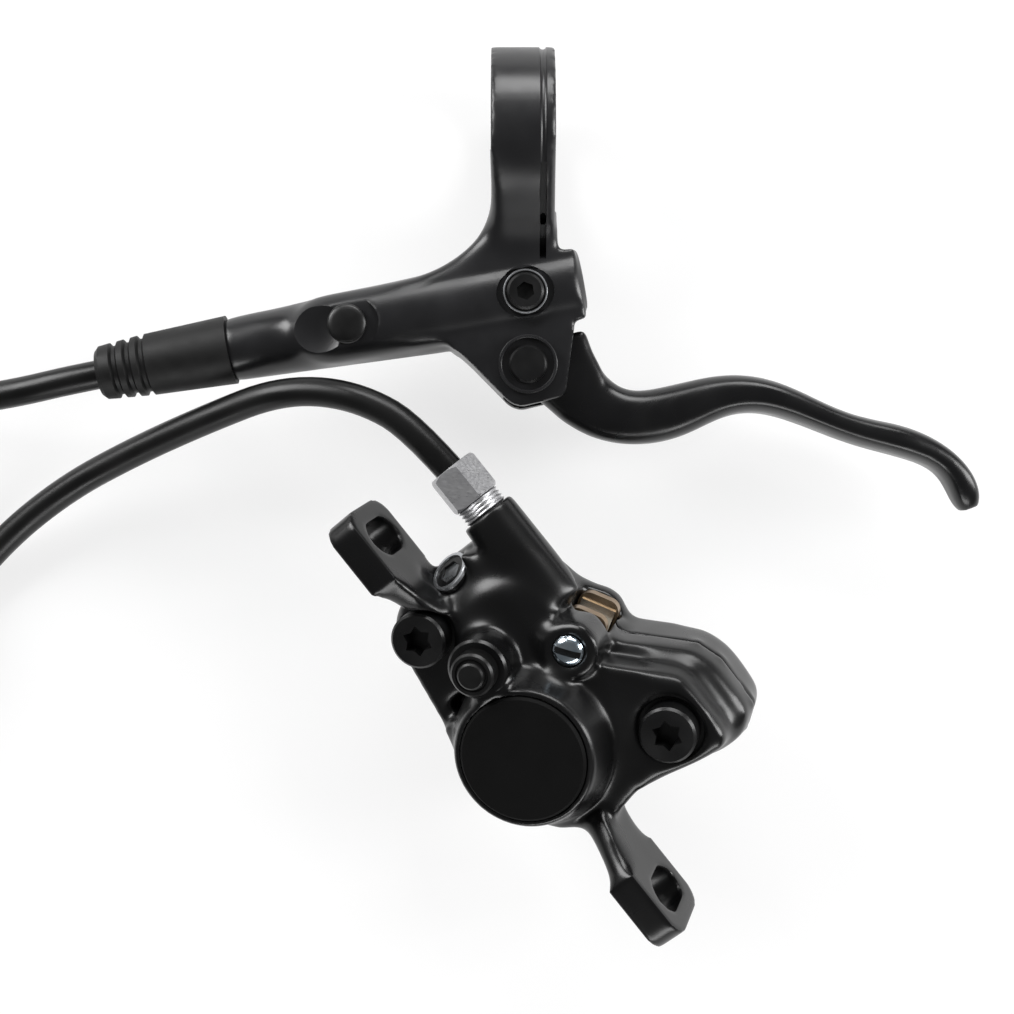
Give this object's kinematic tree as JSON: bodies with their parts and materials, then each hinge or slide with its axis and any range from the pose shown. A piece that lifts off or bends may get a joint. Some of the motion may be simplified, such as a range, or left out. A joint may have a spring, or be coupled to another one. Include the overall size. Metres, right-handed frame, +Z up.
{
  "type": "hydraulic disc brake",
  "caption": "Bicycle hydraulic disc brake: handlebar lever with master cylinder, brake hose and post mount caliper with pads, laid flat.",
  "frame": {"origin": "centre of the box of the lever and caliper on the surface that they lie on, the hose left out", "axes": "+X along the handlebar towards the blade's tip, +Y from the blade towards the handlebar clamp, +Z up"},
  "size_m": [0.2442, 0.1498, 0.0405],
  "materials": {
    "cast_black": "satin black paint on cast aluminium",
    "anodised_black": "satin black",
    "blade_black": "semi-gloss black paint",
    "cover_black": "matte",
    "screw_black": "black oxide",
    "rubber_black": "moulded matte",
    "hose_black": "smooth sheath",
    "nut_steel": "satin steel",
    "zinc_steel": "bright zinc",
    "pad_bronze": "bronze coloured plate",
    "spring_steel": "bright spring steel",
    "lining": "pressed resin",
    "inner_metal": "turned",
    "piston_white": "resin",
    "olive_brass": "turned"
  },
  "bodies": {
    "unit": {"bleed_cap": "rubber_black", "bleed_nipple": "nut_steel", "bleed_screw": "screw_black", "bleed_screw_o_ring": "rubber_black", "body_bolt_left": "screw_black", "body_bolt_right": "screw_black", "bore_clip": "spring_steel", "caliper_hose_insert": "nut_steel", "caliper_hose_nut": "nut_steel", "caliper_housing_front": "cast_black", "caliper_housing_rear": "cast_black", "caliper_olive": "olive_brass", "clamp_bolt": "screw_black", "front_piston_seal": "rubber_black", "hose_boot": "rubber_black", "hose_caliper_run": "hose_black", "hose_coil": "hose_black", "hose_lever_run": "hose_black", "lever_body": "anodised_black", "lever_hose_insert": "nut_steel", "lever_hose_nut": "nut_steel", "lever_olive": "olive_brass", "pad_pin": "zinc_steel", "pad_pin_clip": "spring_steel", "pad_spring": "spring_steel", "piston_cover": "cover_black", "piston_cover_seal": "rubber_black", "pivot_pin": "screw_black", "pivot_pin_clip": "spring_steel", "port_plug": "screw_black", "rear_piston_seal": "rubber_black", "return_spring": "spring_steel", "side_port_plug": "nut_steel"},
    "blade": {"lever_blade": "blade_black", "pivot_bush_upper": "inner_metal", "pivot_bush_lower": "inner_metal"},
    "master_piston_group": {"master_piston": "inner_metal", "primary_cup": "rubber_black", "secondary_seal": "rubber_black", "push_rod": "nut_steel"},
    "front_pad": {"front_pad_plate": "pad_bronze", "front_pad_lining": "lining", "front_piston": "piston_white"},
    "rear_pad": {"rear_pad_plate": "pad_bronze", "rear_pad_lining": "lining", "rear_piston": "piston_white"}
  },
  "joints": [
    {"name": "blade_pivot", "type": "hinge", "parent": "unit", "child": "blade", "pos_m": [-0.00204, 0.02043, 0.0155], "axis": [0, 0, 1], "range_deg": [0, 18], "stiffness_Nm_per_rad": 0.4, "springref_deg": -8.59},
    {"name": "master_piston_slide", "type": "slide", "parent": "unit", "child": "master_piston_group", "axis": [-0.9842, -0.1771, 0], "range_m": [0, 0.00385], "deforming": ["return_spring"]},
    {"name": "front_pad_slide", "type": "slide", "parent": "unit", "child": "front_pad", "axis": [0.2671, 0.2137, -0.9397], "range_m": [0, 0.00105], "deforming": ["pad_spring"]},
    {"name": "rear_pad_slide", "type": "slide", "parent": "unit", "child": "rear_pad", "axis": [-0.2671, -0.2137, 0.9397], "range_m": [0, 0.00105]}
  ],
  "couplings": [
    {"joint": "master_piston_slide", "follows": "blade_pivot", "m_per_rad": 0.011951},
    {"joint": "front_pad_slide", "follows": "blade_pivot", "m_per_rad": 0.0031831},
    {"joint": "rear_pad_slide", "follows": "blade_pivot", "m_per_rad": 0.0031831}
  ]
}
